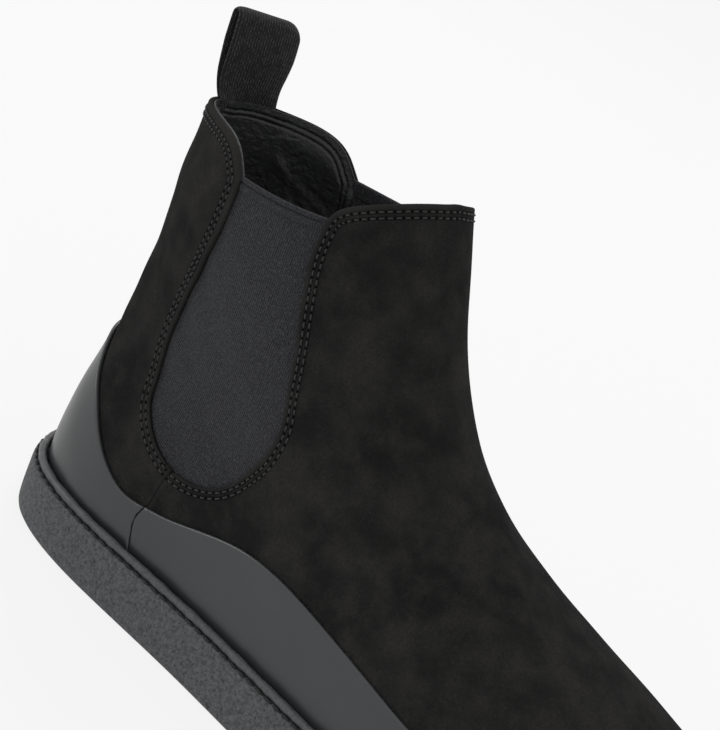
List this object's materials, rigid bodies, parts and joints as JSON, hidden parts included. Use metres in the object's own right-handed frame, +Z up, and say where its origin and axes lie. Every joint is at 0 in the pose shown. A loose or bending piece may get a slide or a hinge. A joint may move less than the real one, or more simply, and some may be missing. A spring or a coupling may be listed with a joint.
{
  "type": "chelsea boot",
  "caption": "Pull-on ankle boot for the right foot: nubuck upper, elastic side gores, smooth heel and rand overlays, flat rubber cup-edge sole and a rear webbing pull loop.",
  "frame": {"origin": "on the ground, at the centre of the box of the sole and the pull loop that leans out 4 mm behind it", "axes": "+X to the toe, +Y to the inner side of the foot (right foot), +Z up"},
  "size_m": [0.2904, 0.113, 0.1777],
  "materials": {
    "nubuck": "matt black nubuck, fine nap, cloudy shading",
    "overlay": "smooth matt charcoal leather, soft sheen",
    "lining": "thin black lining leather, fine creases",
    "elastic": "ribbed dark grey elastic webbing",
    "binding": "rolled hem of the elastic",
    "sole_rubber": "pebbled charcoal rubber",
    "bead_rubber": "smooth grey rubber bead",
    "sole_thread": "waxed black thread",
    "insole_board": "pressed fibre board",
    "footbed": "foam footbed with a black cover",
    "stiffener": "thermoplastic stiffener",
    "thread": "black sewing thread",
    "webbing": "herringbone woven black webbing"
  },
  "bodies": {
    "foot": {"vamp": "nubuck", "rear_quarter": "nubuck", "heel_overlay": "overlay", "front_rand": "overlay", "rear_lining": "lining", "vamp_lining": "lining", "gore_outer": "elastic", "gore_inner": "elastic", "gore_binding_outer": "binding", "gore_binding_inner": "binding", "outsole": "sole_rubber", "welt_bead": "bead_rubber", "sole_stitching": "sole_thread", "insole_board": "insole_board", "footbed": "footbed", "heel_counter": "stiffener", "toe_puff": "stiffener", "quarter_stitching": "thread", "vamp_stitching_outer": "thread", "vamp_stitching_inner": "thread", "pull_tab_anchor": "webbing"},
    "shaft": {"front_shaft": "nubuck", "front_shaft_lining": "lining", "shaft_stitching": "thread"},
    "loop": {"pull_tab": "webbing"}
  },
  "joints": [
    {"name": "collar_stretch", "type": "hinge", "parent": "foot", "child": "shaft", "pos_m": [0.00979, -0.01545, 0.09738], "axis": [0, 1, 0], "range_deg": [0, 8], "stiffness_Nm_per_rad": 4, "deforming": ["gore_outer", "gore_inner", "gore_binding_outer", "gore_binding_inner"]},
    {"name": "pull_tab_fold", "type": "hinge", "parent": "foot", "child": "loop", "pos_m": [-0.13214, 0.01273, 0.1517], "axis": [0.3746, 0.9272, 0], "range_deg": [-50, 40], "stiffness_Nm_per_rad": 0.02}
  ]
}
